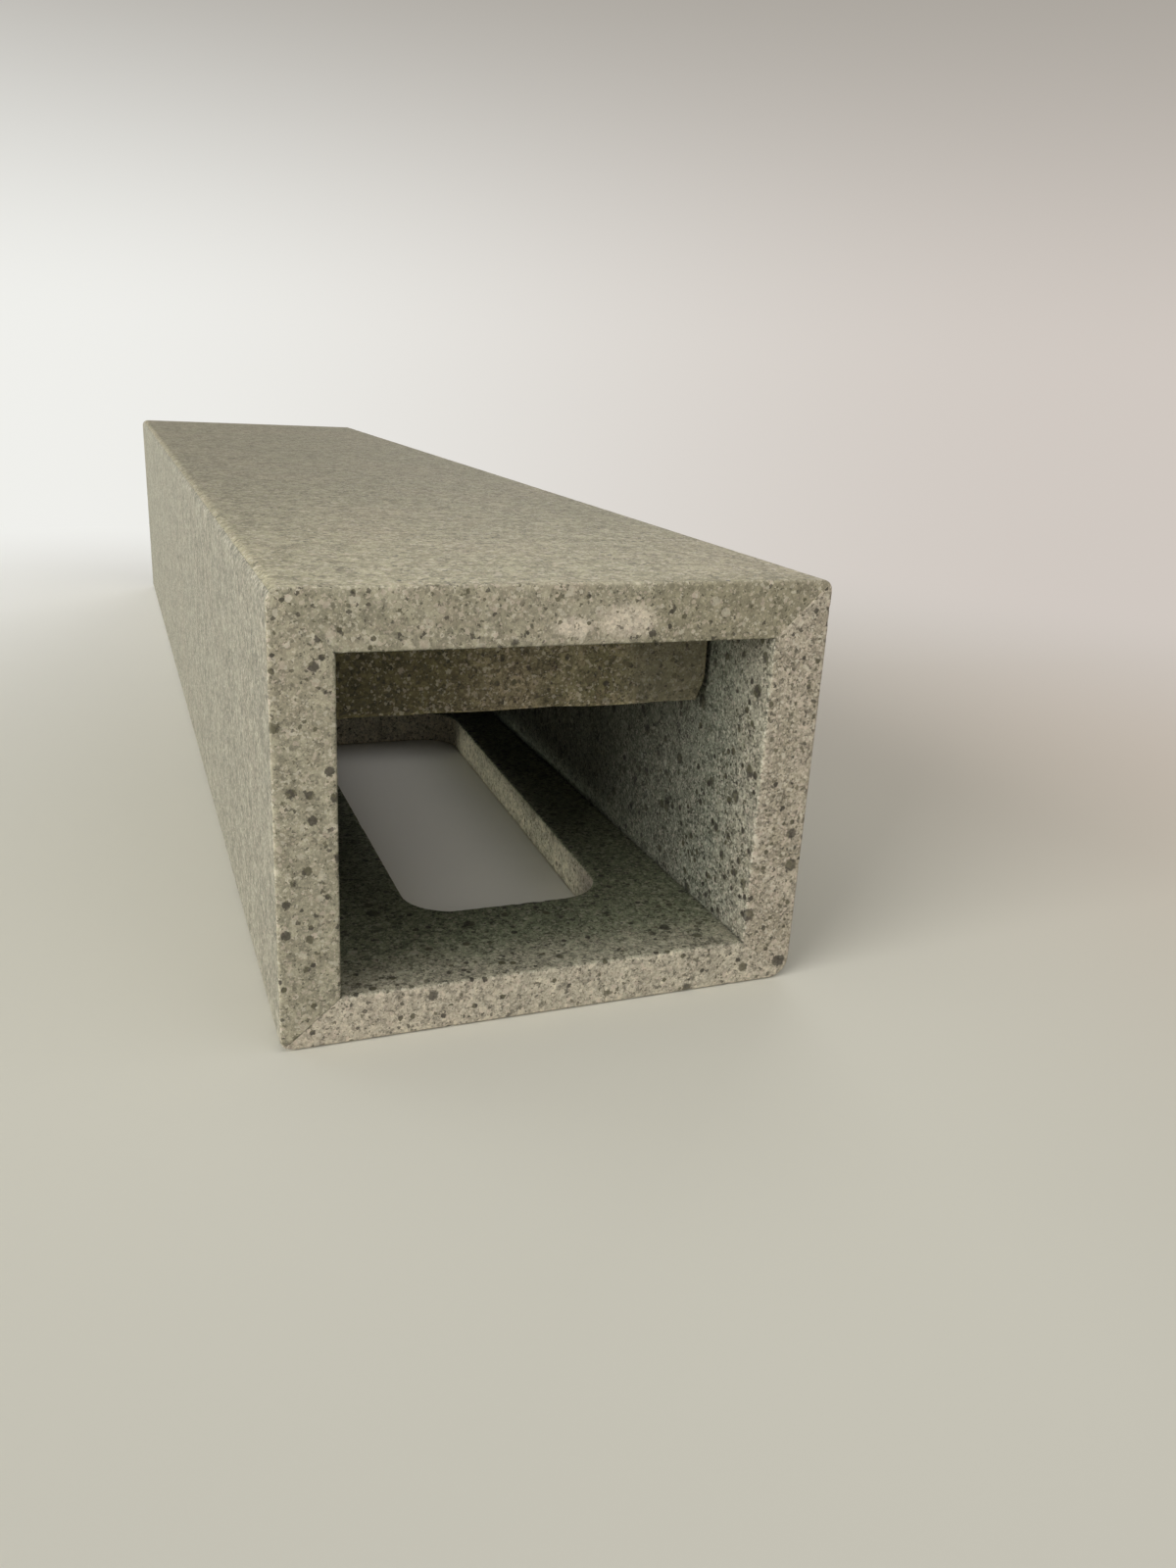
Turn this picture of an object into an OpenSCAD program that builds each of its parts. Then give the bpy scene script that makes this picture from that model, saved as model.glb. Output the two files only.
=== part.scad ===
// Hollow stone profile. Four thin stone plates are mitred and glued into a long
// rectangular tube. A rounded opening is cut through the bottom plate near one end,
// and a thicker strip is bonded under the top plate, over the opening.
// +X runs across, +Y along the length and +Z up. The origin is the middle of the
// underside, halfway along the length.

/* [Profile] */
// Overall width, across the two side plates
profile_w = 100; // [80:1:200]
// Overall height, from the underside to the top face
profile_h = 80; // [60:1:160]
// Overall length, from one open end to the other
profile_len = 450; // [300:5:1200]

/* [Plates] */
// Thickness of the top plate
top_t = 10.5; // [6:0.5:15]
// Thickness of the bottom plate
bottom_t = 9; // [6:0.5:15]
// Thickness of the left side plate
left_t = 10.5; // [6:0.5:15]
// Thickness of the right side plate
right_t = 11; // [6:0.5:15]

/* [Rounded long edges] */
// Radius ground onto the top left edge
top_left_r = 2.5; // [0.5:0.5:5]
// Radius ground onto the top right edge
top_right_r = 2; // [0.5:0.5:5]
// Radius ground onto the bottom right edge
bottom_right_r = 4; // [0.5:0.5:5]
// Radius ground onto the bottom left edge
bottom_left_r = 1.5; // [0.5:0.5:5]

/* [Opening in the bottom plate] */
// Width of the opening at its end nearer the open end of the profile
opening_near_w = 41.5; // [20:0.5:50]
// Width of the opening at its other end
opening_far_w = 46; // [20:0.5:50]
// Length of the opening, along the profile
opening_len = 142; // [40:1:200]
// Radius of the opening's corners
opening_r = 10; // [2:0.5:20]
// Stone left between the near end of the profile and the opening
opening_setback = 28.5; // [10:0.5:80]
// How far the opening's straight left side is from the middle of the profile
opening_left = 20; // [5:0.5:22]

/* [Inner strip] */
// Thickness of the strip, measured down from the top plate
strip_t = 17.5; // [8:0.5:30]
// How far the strip runs past each end of the opening
strip_overlap = 6; // [0:0.5:12]
// Open joint between the strip and the right side plate
strip_gap = 1.4; // [0.3:0.1:2]
// Width of the bevel on the strip's lower right edge
strip_bevel_w = 1.5; // [0.5:0.5:4]
// Height of the bevel on the strip's lower right edge
strip_bevel_h = 4.5; // [1:0.5:8]

/* [Hidden] */
$fn = 96;

// Tones of the stone: faces in the light, the granular side plates and the shaded strip
upper_stone = [0.60, 0.59, 0.51];
side_stone = [0.63, 0.62, 0.55];
shaded_stone = [0.44, 0.42, 0.35];

// Cutting shapes run this far past the faces they cut
overcut = 1;

// Sides of the section, counted like its corners: anticlockwise from the lower left
BOTTOM = 0;
RIGHT = 1;
TOP = 2;
LEFT = 3;

left_x = -profile_w / 2;
right_x = profile_w / 2;
inner_left_x = left_x + left_t;
inner_right_x = right_x - right_t;
inner_top_z = profile_h - top_t;

outer_corners = [[left_x, 0], [right_x, 0], [right_x, profile_h], [left_x, profile_h]];
inner_corners = [
    [inner_left_x, bottom_t],
    [inner_right_x, bottom_t],
    [inner_right_x, inner_top_z],
    [inner_left_x, inner_top_z]
];

// The ends of the opening, and the step across for each step along its slanted right side
opening_near_y = opening_setback - profile_len / 2;
opening_far_y = opening_near_y + opening_len;
opening_taper = (opening_far_w - opening_near_w) / opening_len;

// The opening's corner radii always leave this much of its sides straight
least_straight = 1;
shortest_side = min(opening_near_w, opening_far_w, opening_len);
opening_corner_r = min(opening_r, (shortest_side - least_straight) / 2);

// What rounding removes from a corner that stands at the origin, with the
// material in the quadrant where both coordinates are positive
module corner_waste(r) {
    difference() {
        translate([-overcut, -overcut]) square(r + overcut);
        translate([r, r]) circle(r);
    }
}

// A rectangle with its lower left corner at the origin and one radius for each
// corner, counted anticlockwise from the lower left
module rounded_rectangle(w, h, radii) {
    difference() {
        square([w, h]);
        corner_waste(radii[0]);
        translate([w, 0]) rotate(90) corner_waste(radii[1]);
        translate([w, h]) rotate(180) corner_waste(radii[2]);
        translate([0, h]) rotate(270) corner_waste(radii[3]);
    }
}

// A convex outline with the same radius at every corner, from the middles of its
// corner arcs, counted anticlockwise
module rounded_outline(middles, r) {
    count = len(middles);
    sides = [for (i = [0:count - 1]) middles[(i + 1) % count] - middles[i]];
    outward = [for (side = sides) [side.y, -side.x] / norm(side)];
    polygon([
        for (i = [0:count - 1])
            each [middles[i] + r * outward[(i + count - 1) % count], middles[i] + r * outward[i]]
    ]);
    for (middle = middles)
        translate(middle) circle(r);
}

// Runs a section along the profile, centred on its length: the section's own
// first axis lies across the profile and its second axis points up
module run_along(len) {
    translate([0, len / 2, 0])
        rotate([90, 0, 0])
            linear_extrude(len)
                children();
}

// The outside of the whole tube, with its four rounded edges
module outer_section() {
    translate([left_x, 0])
        rounded_rectangle(
            profile_w,
            profile_h,
            [bottom_left_r, bottom_right_r, top_right_r, top_left_r]
        );
}

// The section of one plate, mitred from the outer corner to the inner corner
// at both of its edges
module mitred_section(side) {
    next = (side + 1) % 4;
    intersection() {
        outer_section();
        polygon([outer_corners[side], outer_corners[next], inner_corners[next], inner_corners[side]]);
    }
}

module top_plate() {
    color(upper_stone)
        run_along(profile_len) mitred_section(TOP);
}

module left_plate() {
    color(side_stone)
        run_along(profile_len) mitred_section(LEFT);
}

module right_plate() {
    color(side_stone)
        run_along(profile_len) mitred_section(RIGHT);
}

// Where a corner arc on the opening's slanted right side has its middle, across
// the profile, at a distance along from the opening's near end
function right_arc_x(along) =
    opening_near_w - opening_left
    + opening_taper * along
    - opening_corner_r * norm([1, opening_taper]);

// The rounded opening, as the shape that is cut through the bottom plate
module plate_opening() {
    r = opening_corner_r;
    left_arc_x = r - opening_left;
    translate([0, 0, -overcut])
        linear_extrude(bottom_t + 2 * overcut)
            rounded_outline(
                [
                    [left_arc_x, opening_near_y + r],
                    [right_arc_x(r), opening_near_y + r],
                    [right_arc_x(opening_len - r), opening_far_y - r],
                    [left_arc_x, opening_far_y - r]
                ],
                r
            );
}

module bottom_plate() {
    color(upper_stone)
        difference() {
            run_along(profile_len) mitred_section(BOTTOM);
            plate_opening();
        }
}

// The strip lies against the top and left plates and stops short of the right one
module inner_strip() {
    strip_right_x = inner_right_x - strip_gap;
    strip_bottom_z = inner_top_z - strip_t;
    color(shaded_stone)
        translate([0, (opening_near_y + opening_far_y) / 2, 0])
            run_along(opening_len + 2 * strip_overlap)
                polygon([
                    [inner_left_x, strip_bottom_z],
                    [strip_right_x - strip_bevel_w, strip_bottom_z],
                    [strip_right_x, strip_bottom_z + strip_bevel_h],
                    [strip_right_x, inner_top_z],
                    [inner_left_x, inner_top_z]
                ]);
}

top_plate();
bottom_plate();
left_plate();
right_plate();
inner_strip();
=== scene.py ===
import math

import bmesh
import bpy
from mathutils import Matrix, Vector, noise
from mathutils.kdtree import KDTree


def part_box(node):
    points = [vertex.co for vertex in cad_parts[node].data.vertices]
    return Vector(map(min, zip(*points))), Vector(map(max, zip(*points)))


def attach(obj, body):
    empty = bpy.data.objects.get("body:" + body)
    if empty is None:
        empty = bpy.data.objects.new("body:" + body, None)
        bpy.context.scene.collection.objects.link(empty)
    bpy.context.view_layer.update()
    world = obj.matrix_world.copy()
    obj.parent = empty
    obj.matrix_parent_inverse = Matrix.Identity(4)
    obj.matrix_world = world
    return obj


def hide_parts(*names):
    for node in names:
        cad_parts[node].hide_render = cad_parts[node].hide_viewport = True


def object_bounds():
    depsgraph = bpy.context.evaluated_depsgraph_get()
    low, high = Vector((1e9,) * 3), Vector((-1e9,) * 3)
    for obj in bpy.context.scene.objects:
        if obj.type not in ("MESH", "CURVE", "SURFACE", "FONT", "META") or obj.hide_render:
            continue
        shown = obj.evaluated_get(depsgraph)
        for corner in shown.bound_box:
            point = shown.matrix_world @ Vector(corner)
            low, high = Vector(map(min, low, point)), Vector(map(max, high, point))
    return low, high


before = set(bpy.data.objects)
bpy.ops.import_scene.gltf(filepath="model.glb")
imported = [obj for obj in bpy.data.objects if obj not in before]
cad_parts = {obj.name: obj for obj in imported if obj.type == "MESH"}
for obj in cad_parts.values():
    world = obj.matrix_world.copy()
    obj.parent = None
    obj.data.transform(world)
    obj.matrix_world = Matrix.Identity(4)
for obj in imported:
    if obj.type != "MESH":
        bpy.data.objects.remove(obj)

# The looks of a hollow stone profile: four mitred plates of speckled stone and the darker
# strip bonded under the top plate. Each CAD node is copied, cut finer where it wears, and
# worn along its edges. +X runs across, +Y along the length and +Z up, in metres.

MM = 0.001
cad_box = [list(corner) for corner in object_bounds()]

# Places on the profile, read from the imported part
PROFILE_LOW, PROFILE_HIGH = (Vector(corner) for corner in cad_box)
CAVITY_LOW = Vector((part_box("left_plate")[1].x, PROFILE_LOW.y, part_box("bottom_plate")[1].z))
CAVITY_HIGH = Vector((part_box("right_plate")[0].x, PROFILE_HIGH.y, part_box("top_plate")[0].z))
MIDDLE_Z = (CAVITY_LOW.z + CAVITY_HIGH.z) / 2
NEAR_Y = PROFILE_LOW.y


# ---------------------------------------------------------------- shapes

MERGE_DISTANCE = 0.001 * MM
FLAT_ANGLE = math.radians(0.5)      # faces closer than this are one flat face
CORNER_ANGLE = math.radians(30)     # faces further apart than this meet at an edge
SHARP_ANGLE = math.radians(38)      # faces further apart than this are shaded apart
BEVEL_ANGLE = math.radians(10)      # the strip's own bevel meets its side at a little more
MITRE_SLANT = 0.3                   # a mitre's normal leans at least this far both ways
MITRE_FACE_AREA = 1000 * MM * MM    # smaller slanted faces belong to a rounded edge
LONG_EDGE = 100 * MM                # only edges that run along the profile are longer

ARRIS_BEVEL = 0.35 * MM             # softening of the sawn edges
ARRIS_SEGMENTS = 3
CELL_ACROSS = 2.8 * MM              # cells of the plates' faces before they are cut finer
CELL_ALONG = 7.5 * MM
END_ROWS = [0.9, 2.0, 3.6]          # extra rows near the sawn ends, in mm
ARRIS_CELL = 0.35 * MM              # finest cells, along the sawn edges
ROUNDING_CELL = 1.2 * MM            # cells along the rounded long edges
CELL_GROWTH = 0.55                  # how fast cells grow away from an edge
MOST_HALVINGS = 6
STRIP_SAG = 0.5 * MM                # unevenness of the strip's rough edges
SAG_SIZE = 11 * MM
SAG_REACH = 3 * MM

WEAR_REACH = 0.9 * MM               # how far from an edge the wear shows
SOFTENING = 0.05 * MM               # even loss along a sawn edge
FRETTING = 0.16 * MM                # fine crumbling along it
BITE = 0.42 * MM                    # deepest common chips
FINE_CRUMBS = 0.55 * MM             # sizes of the crumbling, from fine to slow
COARSE_CRUMBS = 1.3 * MM
BITE_SIZE = 2.1 * MM
BITTEN_STRETCH = 8.0 * MM
CHIP_RAGGEDNESS = 0.8 * MM
WAVINESS = 0.10 * MM                # slow unevenness of the rounded long edges
WAVE_SIZE = 5 * MM
ROUNDING_REACH = 4 * MM
SEAM_REACH = 1.5 * MM               # how far from a glued joint the seam is marked
INNER_FADE = 0.5 * MM               # depth at which the tone of the inner faces has gone

# How dark the glue line of each joint is. Below zero it is paler than the stone.
DARK_JOINT = 1.0
FAINT_JOINT = 0.35
TIGHT_JOINT = 0.05
PALE_JOINT = -1.0


def merged_copy(node):
    """A CAD node as one closed mesh of flat faces, ready to be cut."""
    bm = bmesh.new()
    bm.from_mesh(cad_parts[node].data)
    bmesh.ops.remove_doubles(bm, verts=bm.verts, dist=MERGE_DISTANCE)
    bmesh.ops.dissolve_limit(bm, angle_limit=FLAT_ANGLE, verts=bm.verts, edges=bm.edges)
    return bm


def is_mitre(face):
    """True for the slanted face that is glued to the neighbouring plate."""
    slant = min(abs(face.normal.x), abs(face.normal.z))
    return slant > MITRE_SLANT and face.calc_area() > MITRE_FACE_AREA


def edge_points(edges, spacing=0.25 * MM):
    """A search tree of points set closely along some edges."""
    points = []
    for edge in edges:
        start, end = (vert.co.copy() for vert in edge.verts)
        steps = max(1, math.ceil((end - start).length / spacing))
        points += [start.lerp(end, step / steps) for step in range(steps + 1)]
    tree = KDTree(len(points))
    for index, point in enumerate(points):
        tree.insert(point, index)
    tree.balance()
    return tree


def soften(bm, edges, width, segments):
    """Bevels some edges to a rounded arris."""
    bmesh.ops.bevel(
        bm, geom=edges, offset=width, offset_type="OFFSET", affect="EDGES",
        segments=segments, profile=0.5, material=-1, clamp_overlap=False,
    )


def spaced(low, high, spacing):
    """Even stations between two ends, without the ends themselves."""
    count = max(1, round((high - low) / spacing))
    return [low + (high - low) * step / count for step in range(1, count)]


def cut_into_cells(bm):
    """Cuts a piece by planes across each axis, with closer rows near the sawn ends."""
    low = Vector([min(vert.co[axis] for vert in bm.verts) for axis in range(3)])
    high = Vector([max(vert.co[axis] for vert in bm.verts) for axis in range(3)])
    rows = [low.y + row * MM for row in END_ROWS] + [high.y - row * MM for row in END_ROWS]
    last_row = END_ROWS[-1] * MM
    stations = {
        0: spaced(low.x, high.x, CELL_ACROSS),
        1: rows + spaced(low.y + last_row, high.y - last_row, CELL_ALONG),
        2: spaced(low.z, high.z, CELL_ACROSS),
    }
    for axis, places in stations.items():
        normal = Vector([float(axis == index) for index in range(3)])
        for place in places:
            bmesh.ops.bisect_plane(
                bm, geom=bm.verts[:] + bm.edges[:] + bm.faces[:],
                dist=MERGE_DISTANCE, plane_co=normal * place, plane_no=normal,
            )


def refine(bm, trees):
    """Halves edges until they are short near each tree's points, longer further away."""
    for _ in range(MOST_HALVINGS):
        too_long = []
        for edge in bm.edges:
            middle = (edge.verts[0].co + edge.verts[1].co) / 2
            allowed = min(cell + CELL_GROWTH * tree.find(middle)[2] for tree, cell in trees)
            if edge.calc_length() > allowed:
                too_long.append(edge)
        if not too_long:
            return
        bmesh.ops.subdivide_edges(bm, edges=too_long, cuts=1, use_grid_fill=True)


def smooth_between(value, low, high):
    """0 below low, 1 above high and a smooth turn between them."""
    share = min(1.0, max(0.0, (value - low) / (high - low)))
    return share * share * (3 - 2 * share)


def nearness(tree, place, reach):
    """1 at a tree's points, falling to 0 at the end of its reach."""
    return max(0.0, 1 - tree.find(place)[2] / reach)


def crumbling(place):
    """How much stone is gone from a sawn edge at a place."""
    fine = abs(noise.noise(place / FINE_CRUMBS))
    coarse = max(0.0, noise.noise(place / COARSE_CRUMBS))
    bites = smooth_between(noise.noise(place / BITE_SIZE), 0.18, 0.62)
    rare = smooth_between(noise.noise(place / BITTEN_STRETCH), -0.05, 0.35)
    return SOFTENING + FRETTING * (0.4 * fine + 0.6 * coarse) + BITE * bites * rare


def chipped(place, chips):
    """How much stone is gone at a place to the larger chips, given as centre, radius, depth."""
    ragged = 0.75 + 0.5 * noise.noise(place / CHIP_RAGGEDNESS)
    return sum(
        depth * ragged * smooth_between(1 - (place - centre).length / radius, 0.0, 0.7)
        for centre, radius, depth in chips
    )


def wear_down(bm, arrises, roundings=None, chips=(), sag=0.0):
    """Wears a piece along its edges. Stone only goes inward, so the size stays."""
    wear = bm.verts.layers.float.new("wear")
    bm.normal_update()
    moves = []
    for vert in bm.verts:
        place = vert.co
        arris = nearness(arrises, place, WEAR_REACH)
        loss = arris ** 2 * crumbling(place) + chipped(place, chips)
        vert[wear] = arris
        if roundings:
            rounding = nearness(roundings, place, ROUNDING_REACH)
            loss += rounding * WAVINESS * max(0.0, noise.noise(place / WAVE_SIZE))
            vert[wear] = max(arris, 0.5 * rounding)
        if sag:
            slow = max(0.0, 0.3 + noise.noise(place / SAG_SIZE))
            loss += sag * slow * nearness(arrises, place, SAG_REACH)
        moves.append(vert.normal * -loss)
    for vert, move in zip(bm.verts, moves):
        vert.co += move


def mark_inner_faces(bm):
    """Marks the faces round the cavity: unrubbed stone, which also carries painted shade."""
    inner = bm.verts.layers.float.new("inner")
    for vert in bm.verts:
        place = vert.co
        outside = max(
            CAVITY_LOW.x - place.x, place.x - CAVITY_HIGH.x,
            CAVITY_LOW.z - place.z, place.z - CAVITY_HIGH.z,
        )
        vert[inner] = 1 - smooth_between(outside, 0.0, INNER_FADE)


def joint_tone(place):
    """How dark the nearest joint's glue line is, which changes from the cavity outwards."""
    left = place.x < 0
    inner_x, outer_x = (CAVITY_LOW.x, PROFILE_LOW.x) if left else (CAVITY_HIGH.x, PROFILE_HIGH.x)
    outward = (place.x - inner_x) / (outer_x - inner_x)
    if place.z < MIDDLE_Z:
        return DARK_JOINT * (1 - smooth_between(outward, 0.7, 0.95)) if left else FAINT_JOINT
    return TIGHT_JOINT if left else PALE_JOINT * smooth_between(outward, 0.3, 0.5)


def mark_joints(bm, tree):
    """Marks how near a plate's joints are, and the tone of their glue."""
    seam = bm.verts.layers.float.new("seam")
    glue = bm.verts.layers.float.new("glue")
    for vert in bm.verts:
        vert[seam] = nearness(tree, vert.co, SEAM_REACH)
        vert[glue] = joint_tone(vert.co)


def finished(bm, name, material, node):
    """Turns a worn mesh into the piece that stands for its CAD node."""
    for face in bm.faces:
        face.smooth = True
    for edge in bm.edges:
        edge.smooth = edge.calc_face_angle() < SHARP_ANGLE
    mesh = bpy.data.meshes.new(name)
    bm.to_mesh(mesh)
    bm.free()
    mesh.materials.append(material)
    piece = bpy.data.objects.new(name, mesh)
    bpy.context.scene.collection.objects.link(piece)
    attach(piece, "root")
    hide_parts(node)
    return piece


def corner_edges(bm):
    """The edges where faces meet at a clear angle."""
    return [edge for edge in bm.edges if edge.calc_face_angle() > CORNER_ANGLE]


def is_rounding(edge):
    """True for the long edge where a mitre comes out on the rounded outside."""
    start, end = (vert.co for vert in edge.verts)
    inside = CAVITY_LOW.x - MM < start.x < CAVITY_HIGH.x + MM
    return abs(start.y - end.y) > LONG_EDGE and not inside


def plate(node, name, material, chips=()):
    """One mitred plate: soft sawn ends, marked joints and worn edges."""
    bm = merged_copy(node)
    corners = corner_edges(bm)
    joints = [edge for edge in corners if any(is_mitre(face) for face in edge.link_faces)]
    arrises = [edge for edge in corners if edge not in joints]
    arris_tree = edge_points(arrises)
    joint_tree = edge_points(joints)
    end_joints = edge_points([edge for edge in joints if edge.calc_length() < LONG_EDGE])
    roundings = edge_points([edge for edge in joints if is_rounding(edge)])
    soften(bm, arrises, ARRIS_BEVEL, ARRIS_SEGMENTS)
    cut_into_cells(bm)
    refine(bm, [(arris_tree, ARRIS_CELL), (end_joints, ARRIS_CELL), (roundings, ROUNDING_CELL)])
    mark_inner_faces(bm)
    mark_joints(bm, joint_tree)
    wear_down(bm, arris_tree, roundings, chips)
    return finished(bm, name, material, node)


def strip(node, name, material):
    """The strip bonded under the top plate, with rough edges."""
    bm = merged_copy(node)
    arrises = [edge for edge in bm.edges if edge.calc_face_angle() > BEVEL_ANGLE]
    arris_tree = edge_points(arrises)
    soften(bm, arrises, ARRIS_BEVEL, ARRIS_SEGMENTS)
    cut_into_cells(bm)
    refine(bm, [(arris_tree, ARRIS_CELL)])
    wear_down(bm, arris_tree, sag=STRIP_SAG)
    return finished(bm, name, material, node)


# ---------------------------------------------------------------- finishes

def tint(red, green, blue):
    """A colour written in 0 to 255 as a shader takes it."""
    linear = [
        level / 12.92 if level <= 0.04045 else ((level + 0.055) / 1.055) ** 2.4
        for level in (red / 255, green / 255, blue / 255)
    ]
    return (*linear, 1.0)


class Link:
    """A shader socket. Arithmetic on it adds Math nodes."""

    def __init__(self, finish, socket):
        self.finish = finish
        self.socket = socket

    def other(self, name):
        """Another output of the same node."""
        return Link(self.finish, self.socket.node.outputs[name])

    def __add__(self, other):
        return self.finish.math("ADD", self, other)

    def __sub__(self, other):
        return self.finish.math("SUBTRACT", self, other)

    def __rsub__(self, other):
        return self.finish.math("SUBTRACT", other, self)

    def __mul__(self, other):
        return self.finish.math("MULTIPLY", self, other)

    def __truediv__(self, other):
        return self.finish.math("DIVIDE", self, other)

    __radd__ = __add__
    __rmul__ = __mul__


class Finish:
    """A procedural finish, built node by node."""

    def __init__(self, name):
        self.material = bpy.data.materials.new(name)
        self.material.use_nodes = True
        self.tree = self.material.node_tree
        self.tree.nodes.clear()

    def node(self, kind, settings=None, sockets=None, output=0):
        """Adds a node: its type, its settings, then the values or links of its sockets."""
        made = self.tree.nodes.new(kind)
        for name, value in (settings or {}).items():
            setattr(made, name, value)
        inputs = {socket.identifier: socket for socket in made.inputs}
        for name, value in (sockets or {}).items():
            if isinstance(value, Link):
                self.tree.links.new(value.socket, inputs[name])
            else:
                inputs[name].default_value = value
        return Link(self, made.outputs[output] if made.outputs else None)

    def math(self, operation, first, second=0.0):
        return self.node(
            "ShaderNodeMath", {"operation": operation}, {"Value": first, "Value_001": second}
        )

    def vector(self, operation, first, second=(0.0, 0.0, 0.0)):
        return self.node(
            "ShaderNodeVectorMath", {"operation": operation}, {"Vector": first, "Vector_001": second}
        )

    def scaled(self, vector, scale):
        return self.node(
            "ShaderNodeVectorMath", {"operation": "SCALE"}, {"Vector": vector, "Scale": scale}
        )

    def length(self, vector):
        return self.node("ShaderNodeVectorMath", {"operation": "LENGTH"}, {"Vector": vector}, "Value")

    def step(self, value, low, high):
        """0 at low, 1 at high, with a smooth turn between. High may be the lower number."""
        return self.node(
            "ShaderNodeMapRange", {"interpolation_type": "SMOOTHSTEP"},
            {"Value": value, "From Min": low, "From Max": high},
        )

    def blend(self, share, first, second):
        return self.node(
            "ShaderNodeMix", {"data_type": "RGBA"},
            {"Factor_Float": share, "A_Color": first, "B_Color": second}, "Result",
        )

    def noise(self, place, size, detail=2.0, output="Fac"):
        """Smooth noise from 0 to 1, with bumps of a size given in mm."""
        return self.node(
            "ShaderNodeTexNoise", None,
            {"Vector": place, "Scale": 1 / size, "Detail": detail, "Roughness": 0.6}, output,
        )

    def attribute(self, name):
        return self.node("ShaderNodeAttribute", {"attribute_name": name}, None, "Fac")

    def surface(self, **sockets):
        """Ends the finish in a Principled surface."""
        names = {name.replace("_", " "): value for name, value in sockets.items()}
        shader = self.node("ShaderNodeBsdfPrincipled", None, names)
        self.node("ShaderNodeOutputMaterial", None, {"Surface": shader})
        return self.material


def crystals(finish, place, size):
    """Packed mineral crystals of a size in mm: three random numbers, each the same all over
    one crystal."""
    cells = finish.node(
        "ShaderNodeTexVoronoi", {"feature": "F1"}, {"Vector": place, "Scale": 1 / size}, "Color"
    )
    return finish.node("ShaderNodeSeparateColor", None, {"Color": cells}, "Red")


def rounded_grains(finish, place, size, share, small, large):
    """Separate rounded grains: a share of cells of a size holds one, small to large in radius."""
    cells = finish.node(
        "ShaderNodeTexVoronoi", {"feature": "F1"}, {"Vector": place, "Scale": 1 / size}, "Distance"
    )
    own = finish.node("ShaderNodeSeparateColor", None, {"Color": cells.other("Color")}, "Red")
    radius = (own.other("Green") * (large - small) + small) / size
    return finish.math("LESS_THAN", own, share) * finish.step(cells / radius, 1.15, 0.85)


def reach(finish, place, centre, radii):
    """How far a place is from a centre: 1 on the ellipsoid with those radii, in mm."""
    offset = finish.vector("SUBTRACT", place, centre)
    return finish.length(finish.vector("DIVIDE", offset, radii))


def patched(finish, place, colour, patches):
    """A colour with soft patches in it: each a tone, a strength, a centre and radii in mm."""
    for tone, strength, centre, radii in patches:
        inside = finish.step(reach(finish, place, centre, radii), 1.3, 0.5)
        colour = finish.blend(inside * strength, colour, tone)
    return colour


def most(finish, *masks):
    """The strongest of some masks at each place."""
    strongest = masks[0]
    for mask in masks[1:]:
        strongest = finish.math("MAXIMUM", strongest, mask)
    return strongest


HALF_LENGTH = PROFILE_HIGH.y / MM

# Sizes in the stone, in mm
CRYSTALS = (0.32, 0.6, 1.2)
BROAD_CRYSTALS = 2.6        # these show on the long outer faces only
RAGGEDNESS = 0.6            # how far the crystals' outlines wander
RAGGED_SIZE = 0.5
GRIT_SIZE = 0.3
CLOUD_SIZE = 5.0
DRIFT_SIZE = 38.0
PALE_SPACING = 1.5
PALE_RADII = (0.18, 0.42)
FELDSPAR_SPACING = 3.0      # larger, softer pale grains
FELDSPAR_RADII = (0.4, 0.95)
DARK_SPACING = 2.6
DARK_RADII = (0.25, 0.6)
INNER_DARK_SPACING = 3.0    # larger dark grains, which show on the unrubbed inner faces
INNER_DARK_RADII = (0.35, 0.85)
COARSE_DARK_SPACING = 4.2   # the few largest grains, with frayed outlines
COARSE_DARK_RADII = (0.6, 1.4)
COARSE_PALE_SPACING = 3.6
COARSE_PALE_RADII = (0.45, 0.95)
FRAYING = 1.6
RUBBED_AWAY = 0.6           # how much of them the long outer faces lose
BLUSH_SIZE = 2.4            # patches of the warmer tone
TEARING = 4.0               # how far the outlines of the marked patches wander
MOUTH_WANDER = 12           # how unevenly the shade begins at the cavity's mouths

# How much each size of crystal changes the stone's tone
TINY_CONTRAST = 0.20
SMALL_CONTRAST = 0.24
LARGE_CONTRAST = 0.24
GRIT_CONTRAST = 0.35
INNER_CONTRAST = 0.5        # more of it on the unrubbed inner faces
BROAD_CONTRAST = 0.3

# The shares of the two smaller crystals that are pale or dark grains
TINY_PALE_SHARE = 0.10
SMALL_PALE_SHARE = 0.08
TINY_DARK_SHARE = 0.04
SMALL_DARK_SHARE = 0.03

# How strongly each kind of grain shows
ROUND_PALE = 0.5
FELDSPAR = 0.36
COARSE_PALE = 0.6
TINY_PALE = 0.36
SMALL_PALE = 0.4
ROUND_DARK = 0.85
INNER_DARK = 0.9
COARSE_DARK = 0.8
TINY_DARK = 0.6
SMALL_DARK = 0.7

GLUE_DEPTH = 0.75           # how much a glue line changes the tone
# How much painted shade darkens the inner corners along the joints
CORNER_SHADE_DEPTH = 0.5
SEAM_WIDTH = 0.22 * MM      # half the width of a glue line, in metres as the seam mark is
SEAM_BREAKS = 2.5


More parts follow.
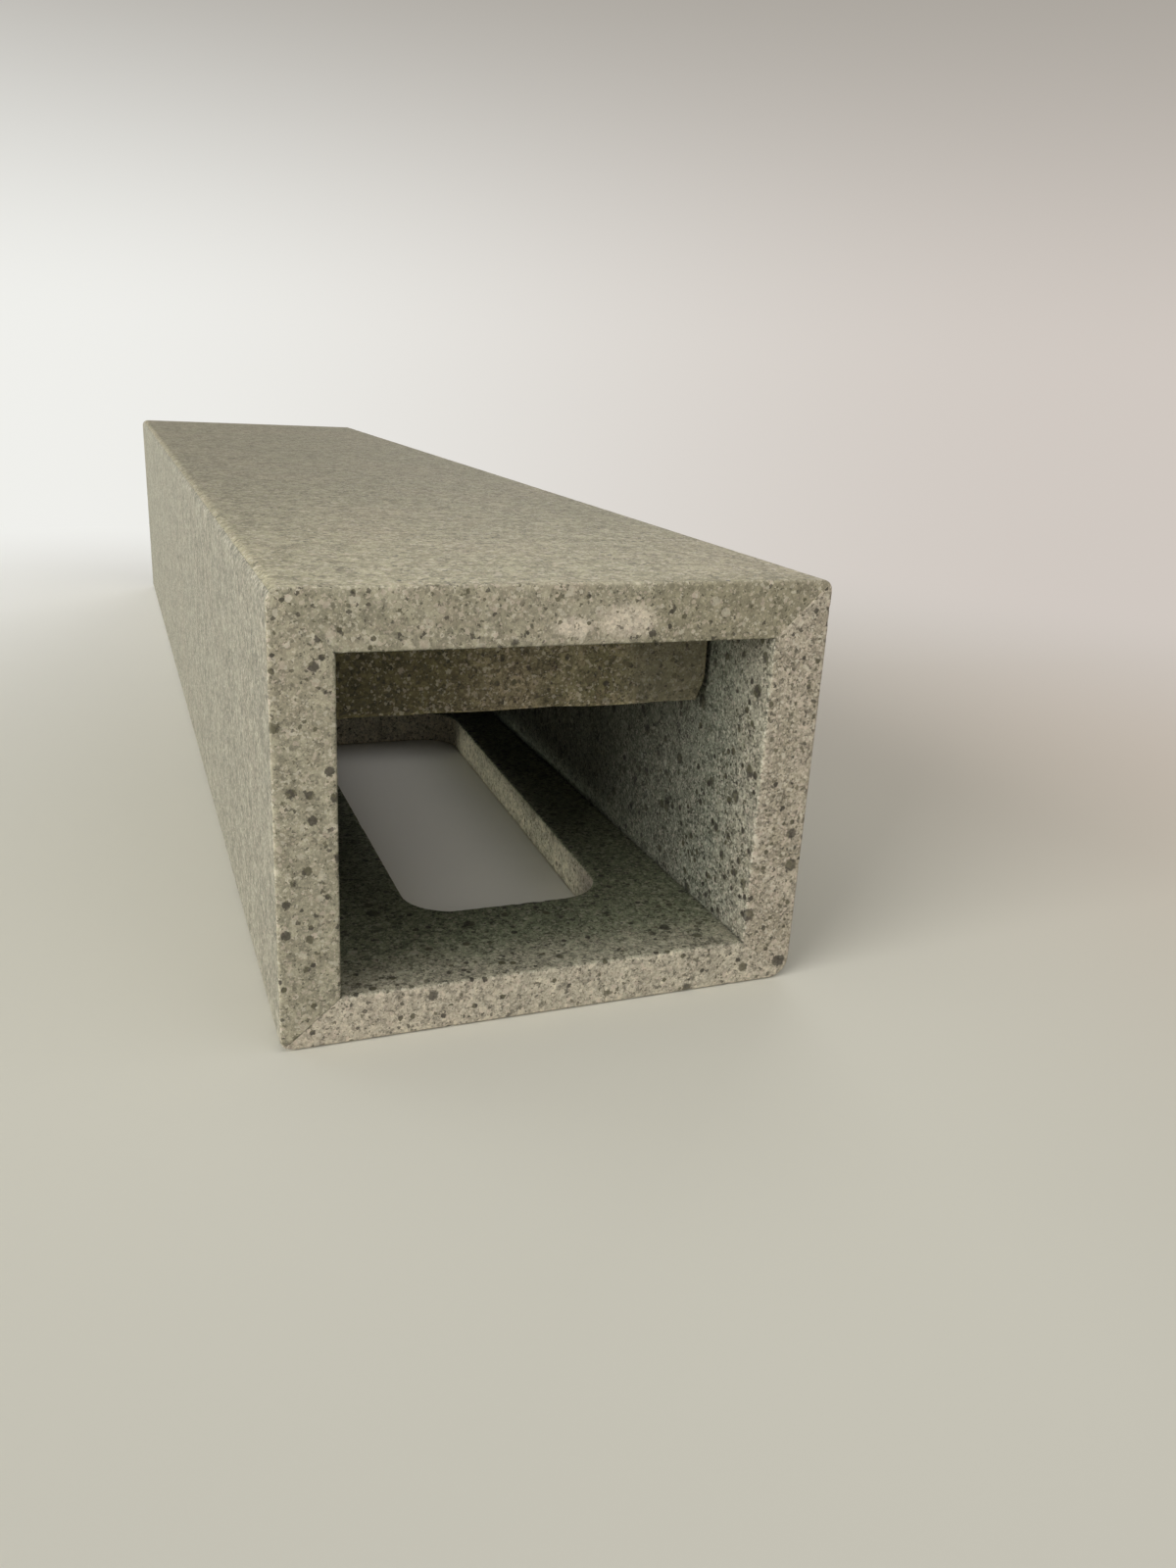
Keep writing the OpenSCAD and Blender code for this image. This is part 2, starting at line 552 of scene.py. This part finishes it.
def stone(
    name, seed, light, deep, warm, shade, mouth=(0.55, 20.0), contrast=1.0, richness=1.0,
    darkness=1.0, coarse=(0.3, 0.3), side_shading=(1.03, 1.03, 1.03), edge=0.12, patches=(), veils=(),
):
    """Speckled stone: packed crystals in a fine matrix, with pale and dark grains. Shade
    multiplies the colour of the faces round the cavity, partly for the darker unrubbed stone and
    partly as painted shade, and mouth is its share at the cavity's mouths and how far in it is
    full. Contrast is how much the crystals differ, richness how many pale grains there are and
    darkness how many dark ones. Coarse is the share of the largest grains that show, dark ones
    and then pale ones. The side factor multiplies the colour of the long outer faces, as painted
    light and shade on those sides, and edge is how much paler the worn edges are, partly worn
    stone and partly a painted highlight. Patches lie under the pale grains and veils over them."""
    finish = Finish(name)
    place = finish.scaled(finish.node("ShaderNodeTexCoord", None, None, "Object"), 1 / MM)
    seeded = finish.vector("ADD", place, seed)
    ripple = finish.noise(seeded, RAGGED_SIZE, 2.0, "Color")
    shift = finish.scaled(finish.vector("SUBTRACT", ripple, (0.5, 0.5, 0.5)), RAGGEDNESS)
    ragged = finish.vector("ADD", seeded, shift)
    along = finish.node("ShaderNodeSeparateXYZ", None, {"Vector": place}, "Y")
    from_middle = finish.math("ABSOLUTE", along)

    # The matrix: slow clouds of tone under a mosaic of crystals of three sizes
    cloud = finish.noise(seeded, CLOUD_SIZE, 3.0)
    drift = finish.noise(seeded, DRIFT_SIZE, 2.0)
    grit = finish.noise(seeded, GRIT_SIZE, 2.0)
    tiny, small, large = (crystals(finish, ragged, size) for size in CRYSTALS)
    colour = finish.blend(finish.step(cloud, 0.34, 0.66), deep, light)
    blush = finish.noise(seeded, BLUSH_SIZE, 2.0)
    colour = finish.blend(finish.step(drift, 0.42, 0.68) * 0.5, colour, warm)
    colour = finish.blend(finish.step(blush, 0.5, 0.7) * 0.5, colour, warm)
    mosaic = (tiny.other("Green") - 0.5) * TINY_CONTRAST
    mosaic = mosaic + (small.other("Green") - 0.5) * SMALL_CONTRAST
    mosaic = mosaic + (large.other("Green") - 0.5) * LARGE_CONTRAST + (grit - 0.5) * GRIT_CONTRAST
    inner = finish.attribute("inner")
    torn = finish.vector("ADD", place, finish.scaled(shift, TEARING))
    colour = patched(finish, torn, colour, patches)
    outer = (1 - inner) * finish.step(from_middle, HALF_LENGTH - 0.2, HALF_LENGTH - 0.8)
    broad = crystals(finish, ragged, BROAD_CRYSTALS)
    mosaic = mosaic * (contrast + INNER_CONTRAST * inner)
    mosaic = mosaic + (broad.other("Green") - 0.5) * outer * BROAD_CONTRAST
    colour = finish.scaled(colour, 1 + mosaic)
    # Painted light and shade on the long outer faces: each plate's side factor makes them lighter or
    # darker
    colour = finish.blend(outer, colour, finish.vector("MULTIPLY", colour, side_shading))

    # The faces round the cavity are darker, partly as unrubbed stone and partly as painted shade, which
    # deepens away from its mouths
    mouth_share, mouth_depth = mouth
    inward = HALF_LENGTH - from_middle
    depth = finish.step(inward + (cloud - 0.5) * MOUTH_WANDER, 0.0, mouth_depth)
    tone = inner * (mouth_share + depth * (1 - mouth_share))
    colour = finish.blend(tone, colour, finish.vector("MULTIPLY", colour, shade))

    # Pale and dark grains
    dark_share, pale_share = coarse
    showing = 1 - outer * RUBBED_AWAY
    frayed = finish.vector("ADD", seeded, finish.scaled(shift, FRAYING))
    coarse_pale = rounded_grains(finish, frayed, COARSE_PALE_SPACING, pale_share, *COARSE_PALE_RADII)
    coarse_dark = rounded_grains(finish, frayed, COARSE_DARK_SPACING, dark_share, *COARSE_DARK_RADII)
    round_pale = rounded_grains(finish, ragged, PALE_SPACING, 0.3 * richness, *PALE_RADII)
    feldspar = rounded_grains(finish, ragged, FELDSPAR_SPACING, 0.5 * richness, *FELDSPAR_RADII)
    pale = most(
        finish,
        round_pale * (ROUND_PALE * richness),
        feldspar * FELDSPAR,
        coarse_pale * showing * COARSE_PALE,
        finish.math("GREATER_THAN", tiny, 1 - TINY_PALE_SHARE * richness) * (TINY_PALE * richness),
        finish.math("GREATER_THAN", small, 1 - SMALL_PALE_SHARE * richness) * (SMALL_PALE * richness),
    )
    pale_tone = finish.blend(finish.step(small.other("Blue"), 0.5, 0.55), WARM_WHITE, PALE_PINK)
    # The pale grains take part of the cavity's painted shade
    pale_tone = finish.blend(tone * 0.6, pale_tone, finish.vector("MULTIPLY", pale_tone, shade))
    colour = patched(finish, torn, finish.blend(pale, colour, pale_tone), veils)

    round_dark = rounded_grains(finish, ragged, DARK_SPACING, 0.4 * darkness, *DARK_RADII)
    inner_dark = rounded_grains(finish, ragged, INNER_DARK_SPACING, 0.85, *INNER_DARK_RADII)
    dark = most(
        finish,
        round_dark * ROUND_DARK,
        inner_dark * inner * INNER_DARK,
        coarse_dark * showing * COARSE_DARK,
        finish.math("LESS_THAN", tiny, TINY_DARK_SHARE * darkness) * TINY_DARK,
        finish.math("LESS_THAN", small, SMALL_DARK_SHARE * darkness) * SMALL_DARK,
    )
    dark_tone = finish.blend(finish.step(large.other("Blue"), 0.5, 0.55), UMBER, DARK_OLIVE)
    # The dark grains take part of the cavity's painted shade too
    dark_tone = finish.blend(tone * 0.5, dark_tone, finish.vector("MULTIPLY", dark_tone, shade))
    colour = finish.blend(dark, colour, dark_tone)

    # Worn edges are paler, partly as worn stone and partly as a painted highlight, glue lines show, and
    # painted shade darkens the inner corners along the joints
    wear = finish.attribute("wear")
    seam = finish.attribute("seam")
    glue = finish.attribute("glue")
    line = finish.step(seam, 1 - SEAM_WIDTH / SEAM_REACH, 1.0)
    line = line * (0.4 + 0.6 * finish.step(finish.noise(seeded, SEAM_BREAKS, 1.0), 0.36, 0.5))
    corner_shade = seam * seam * inner
    colour = finish.scaled(colour, 1 + wear * edge - line * glue * GLUE_DEPTH - corner_shade * CORNER_SHADE_DEPTH)

    roughness = 0.74 - pale * 0.14 - dark * 0.18 + (grit - 0.5) * 0.2
    height = (grit - 0.5) * 0.08 + (cloud - 0.5) * 0.12 - round_dark * 0.03
    normal = finish.node("ShaderNodeBump", None, {"Strength": 0.8, "Distance": MM, "Height": height})
    return finish.surface(
        Base_Color=colour, Roughness=roughness, Normal=normal, Specular_IOR_Level=0.4
    )


# ---------------------------------------------------------------- the pieces

WARM_WHITE = tint(214, 206, 188)
PALE_PINK = tint(206, 190, 174)
CLAST = tint(198, 187, 169)
DULL_GREEN = tint(137, 131, 109)
STRIP_SHADOW_TINT = tint(82, 76, 45)
STRIP_CALM = tint(99, 96, 80)
UMBER = tint(42, 37, 31)
DARK_OLIVE = tint(76, 72, 52)

STRIP_LOW, STRIP_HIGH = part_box("inner_strip")


def on_end(low, high, across, height):
    """A place on a piece's near end, in mm. Across and height are shares, from the lower left."""
    return (
        (low.x + (high.x - low.x) * across) / MM,
        low.y / MM,
        (low.z + (high.z - low.z) * height) / MM,
    )


# The marked patches: a coarse pale one just right of the middle of the top plate's end, a
# duller one to the right of it, a painted shadow over the strip's left end and a calmer right
# end on the strip
PALE_PATCH = on_end(PROFILE_LOW, PROFILE_HIGH, 0.6, 0.92)
PALE_PATCH_SIDE = on_end(PROFILE_LOW, PROFILE_HIGH, 0.5, 0.91)
DULL_PATCH = on_end(PROFILE_LOW, PROFILE_HIGH, 0.8, 0.94)
STRIP_LEFT = on_end(STRIP_LOW, STRIP_HIGH, 0.1, 0.5)
STRIP_RIGHT = on_end(STRIP_LOW, STRIP_HIGH, 0.9, 0.5)

# Each stone's shade is partly painted shade in its cavity, and its side factor is painted light and shade
# on its long outer faces
top_stone = stone(
    "top_stone", (11.0, 3.0, 5.0), tint(155, 150, 130), tint(139, 134, 114), tint(156, 146, 128),
    shade=(0.38, 0.45, 0.43), contrast=1.4, darkness=0.8, coarse=(0.2, 0.4),
    side_shading=(1.05, 1.05, 0.97),
    patches=[
        (DULL_GREEN, 0.8, DULL_PATCH, (20.0, 8.0, 10.0)),
        (CLAST, 0.95, PALE_PATCH_SIDE, (3.6, 4.0, 1.8)),
        (CLAST, 0.8, PALE_PATCH, (5.6, 5.0, 3.2)),
    ],
)
left_stone = stone(
    "left_stone", (37.0, 71.0, 13.0), tint(157, 152, 132), tint(141, 136, 117), tint(154, 146, 126),
    shade=(0.38, 0.45, 0.43), contrast=1.6, darkness=0.9, coarse=(0.8, 0.35),
    side_shading=(0.83, 0.855, 0.895),
)
right_stone = stone(
    "right_stone", (83.0, 19.0, 47.0), tint(169, 160, 143), tint(149, 141, 123), tint(168, 156, 140),
    shade=(0.415, 0.50, 0.49), mouth=(0.62, 20.0), contrast=2.1, richness=1.35, darkness=1.6,
    coarse=(0.2, 0.15),
)
bottom_stone = stone(
    "bottom_stone", (53.0, 97.0, 29.0), tint(178, 171, 153), tint(162, 155, 138), tint(179, 168, 151),
    shade=(0.355, 0.435, 0.35), mouth=(0.47, 18.0), contrast=2.1, richness=1.15, darkness=1.1,
    coarse=(0.15, 0.15),
)
# The strip's worn edges are much paler: partly worn stone, partly a painted highlight along its rims
strip_stone = stone(
    "strip_stone", (61.0, 5.0, 31.0), tint(125, 117, 90), tint(92, 87, 61), tint(127, 114, 92),
    shade=(1.0, 1.0, 1.0), contrast=2.4, richness=0.8, darkness=1.8, coarse=(0.2, 0.5), edge=0.6,
    patches=[(STRIP_SHADOW_TINT, 0.75, STRIP_LEFT, (24.0, 40.0, 24.0))],
    veils=[(STRIP_CALM, 0.6, STRIP_RIGHT, (10.5, 12.0, 16.0))],
)

# The near lower left corner has lost a chip: its centre, radius and depth
CHIP_INSET = Vector((0.6, 0.0, 0.3)) * MM
CHIP_RADIUS = 1.6 * MM
CHIP_DEPTH = 0.5 * MM
corner_chip = (PROFILE_LOW + CHIP_INSET, CHIP_RADIUS, CHIP_DEPTH)

plate("top_plate", "top_slab", top_stone)
plate("left_plate", "left_slab", left_stone, [corner_chip])
plate("right_plate", "right_slab", right_stone)
plate("bottom_plate", "bottom_slab", bottom_stone, [corner_chip])
strip("inner_strip", "bonded_strip", strip_stone)


# ---------------------------------------------------------------- studio

def stage_mesh(bm, name, material):
    """A part of the studio, made from a mesh."""
    mesh = bpy.data.meshes.new(name)
    bm.to_mesh(mesh)
    bm.free()
    mesh.materials.append(material)
    made = bpy.data.objects.new(name, mesh)
    bpy.context.scene.collection.objects.link(made)
    return made


def lamp(name, place, aim, shape, width, depth, power, colour):
    """A soft lamp of a size, turned to face a point and unseen itself."""
    light = bpy.data.lights.new(name, "AREA")
    light.shape = shape
    light.size = width
    light.size_y = depth
    light.energy = power
    light.color = colour
    holder = bpy.data.objects.new(name, light)
    holder.location = place
    holder.rotation_mode = "QUATERNION"
    holder.rotation_quaternion = (Vector(aim) - Vector(place)).to_track_quat("-Z", "Y")
    holder.visible_camera = False
    bpy.context.scene.collection.objects.link(holder)
    return light


def studio_lamp(name, aim, left, up, distance, size, level, colour):
    """A large square lamp, so many degrees to the left of the front and up. Level is how
    brightly it lights a surface that faces it: at 1 a colour shows as it is written."""
    left, up = math.radians(left), math.radians(up)
    towards = Vector((-math.sin(left) * math.cos(up), -math.cos(left) * math.cos(up), math.sin(up)))
    power = math.pi ** 2 * distance ** 2 * level
    lamp(name, Vector(aim) + towards * distance, aim, "SQUARE", size, size, power, colour)


DULL_SIDE = tint(208, 200, 193)
BRIGHT_SIDE = tint(240, 240, 236)
OVERHEAD = tint(163, 158, 150)
FLOOR_PAINT = tint(226, 224, 212)
FLOOR_GRAIN = tint(221, 219, 207)
# Painted light on the floor, for the camera only, behind the profile and to its right
PAINTED_LIGHT_BEHIND = tint(250, 248, 242)
PAINTED_LIGHT_RIGHT = tint(238, 225, 209)
ROOM_RADIUS = 7.0
FLOOR_DROP = -0.2 * MM              # keeps the floor clear of the underside
OUTLOOK = (-0.07, -0.40, 0.0)       # the backdrop's sides are counted round this point
FOOTPRINT = (PROFILE_HIGH.x, PROFILE_HIGH.y, 0.0)
NOWHERE = (0.0, 0.0, 0.0)


def horizon_colour(finish, place):
    """The colour where floor and backdrop meet: brighter on the left."""
    direction = finish.vector("NORMALIZE", finish.vector("SUBTRACT", place, OUTLOOK))
    across = finish.node("ShaderNodeSeparateXYZ", None, {"Vector": direction}, "X")
    return finish.blend(finish.step(across, 0.75, -0.1), DULL_SIDE, BRIGHT_SIDE)


wall = Finish("backdrop_paint")
wall_place = wall.node("ShaderNodeTexCoord", None, None, "Object")
wall_height = wall.node("ShaderNodeSeparateXYZ", None, {"Vector": wall_place}, "Z")
wall_colour = wall.blend(wall.step(wall_height, 0.2, 2.6), horizon_colour(wall, wall_place), OVERHEAD)
wall_glow = wall.node("ShaderNodeEmission", None, {"Color": wall_colour, "Strength": 1.0})
wall.node("ShaderNodeOutputMaterial", None, {"Surface": wall_glow})

dome = bmesh.new()
bmesh.ops.create_uvsphere(dome, u_segments=64, v_segments=32, radius=ROOM_RADIUS)
bmesh.ops.reverse_faces(dome, faces=dome.faces)
backdrop = stage_mesh(dome, "studio_backdrop", wall.material)
backdrop.visible_diffuse = False
backdrop.visible_shadow = False

# The floor is paint near the profile and turns into the backdrop's glow away from it
paint = Finish("floor_paint")
paint_place = paint.node("ShaderNodeTexCoord", None, None, "Object")
paint_colour = paint.blend(paint.noise(paint_place, 0.4, 2.0), FLOOR_PAINT, FLOOR_GRAIN)
beyond = paint.vector("SUBTRACT", paint.vector("ABSOLUTE", paint_place), FOOTPRINT)
distance = paint.length(paint.vector("MAXIMUM", beyond, NOWHERE))
along_floor = paint.node("ShaderNodeSeparateXYZ", None, {"Vector": paint_place}, "Y")
across_floor = along_floor.other("X")
away = distance + paint.math("MAXIMUM", along_floor, 0.0) * 0.6
seen = paint.node("ShaderNodeLightPath", None, None, "Is Camera Ray")
# Painted light on the floor, seen by the camera only: warmer to the right and paler behind the profile
paint_colour = paint.blend(paint.step(across_floor, 0.04, 0.3) * seen, paint_colour, PAINTED_LIGHT_RIGHT)
paint_colour = paint.blend(paint.step(along_floor, -0.15, 0.22) * seen, paint_colour, PAINTED_LIGHT_BEHIND)
floor_matt = paint.node("ShaderNodeBsdfPrincipled", None, {"Base Color": paint_colour, "Roughness": 0.85})
floor_glow = paint.node(
    "ShaderNodeEmission", None, {"Color": horizon_colour(paint, paint_place), "Strength": 1.0}
)
floor_mix = paint.node(
    "ShaderNodeMixShader", None,
    {"Fac": paint.step(away, 0.06, 0.5) * seen, "Shader": floor_matt, "Shader_001": floor_glow},
)
paint.node("ShaderNodeOutputMaterial", None, {"Surface": floor_mix})

ground = bmesh.new()
bmesh.ops.create_circle(
    ground, cap_ends=True, segments=96, radius=ROOM_RADIUS,
    matrix=Matrix.Translation((0, 0, FLOOR_DROP)),
)
stage_mesh(ground, "studio_floor", paint.material)

# What the lamps point at, and their colours
MIDDLE = (0.0, 0.0, 0.04)
FRONT = (0.0, NEAR_Y, 0.04)
FAR_END = (0.0, 0.2, 0.04)
DAYLIGHT = (1.0, 0.985, 0.95)
OVERCAST = (0.88, 0.95, 1.0)
AIR_LEVEL = 0.32
studio_lamp("window_lamp", MIDDLE, 62, 14, 3.0, 2.0, 0.94, DAYLIGHT)
studio_lamp("near_lamp", FRONT, 35, 78, 0.16, 0.12, 0.33, DAYLIGHT)
studio_lamp("side_lamp", FAR_END, 100, 8, 0.5, 0.4, 0.42, OVERCAST)
studio_lamp("back_lamp", MIDDLE, 210, 20, 3.0, 2.0, 0.2, DAYLIGHT)

# Two weak hidden lamps at the opening stand for the light that comes up through it
DUSKY = (1.0, 0.975, 0.99)
OLIVE_LIGHT = (0.95, 1.0, 0.84)
OPENING_Y = -0.125                  # the middle of the opening, along the profile
floor_lamp = lamp(
    "opening_floor_lamp", (0.0, OPENING_Y, 0.050), (0.0, OPENING_Y, 0.0), "RECTANGLE", 0.035, 0.12,
    0.0019, DUSKY,
)
floor_lamp.spread = math.radians(40)
edge_lamp = lamp(
    "opening_edge_lamp", (-0.0185, OPENING_Y, 0.0055), (0.023, OPENING_Y, 0.004), "RECTANGLE", 0.11, 0.005,
    0.0009, OLIVE_LIGHT,
)
edge_lamp.spread = math.radians(25)

world = bpy.data.worlds.new("studio_air")
world.use_nodes = True
air = world.node_tree.nodes["Background"]
air.inputs["Color"].default_value = (*DAYLIGHT, 1.0)
air.inputs["Strength"].default_value = AIR_LEVEL
bpy.context.scene.world = world
bpy.context.scene.view_settings.view_transform = "Standard"


# ---------------------------------------------------------------- camera

LENS = 27.22
CAMERA_PLACE = Vector((-71.9, -406.9, 112.9)) * MM
CAMERA_AIM = Vector((4.2, -225.0, 44.6)) * MM
CAMERA_ROLL = math.radians(3.25)    # the right-hand side of the camera is held up by this

camera_data = bpy.data.cameras.new("studio_camera")
camera_data.lens = LENS
camera_data.clip_start = 0.01
camera = bpy.data.objects.new("studio_camera", camera_data)
camera.location = CAMERA_PLACE
camera.rotation_mode = "QUATERNION"
level = (CAMERA_AIM - CAMERA_PLACE).to_track_quat("-Z", "Y")
camera.rotation_quaternion = level @ Matrix.Rotation(CAMERA_ROLL, 4, "Z").to_quaternion()
bpy.context.scene.collection.objects.link(camera)
bpy.context.scene.camera = camera
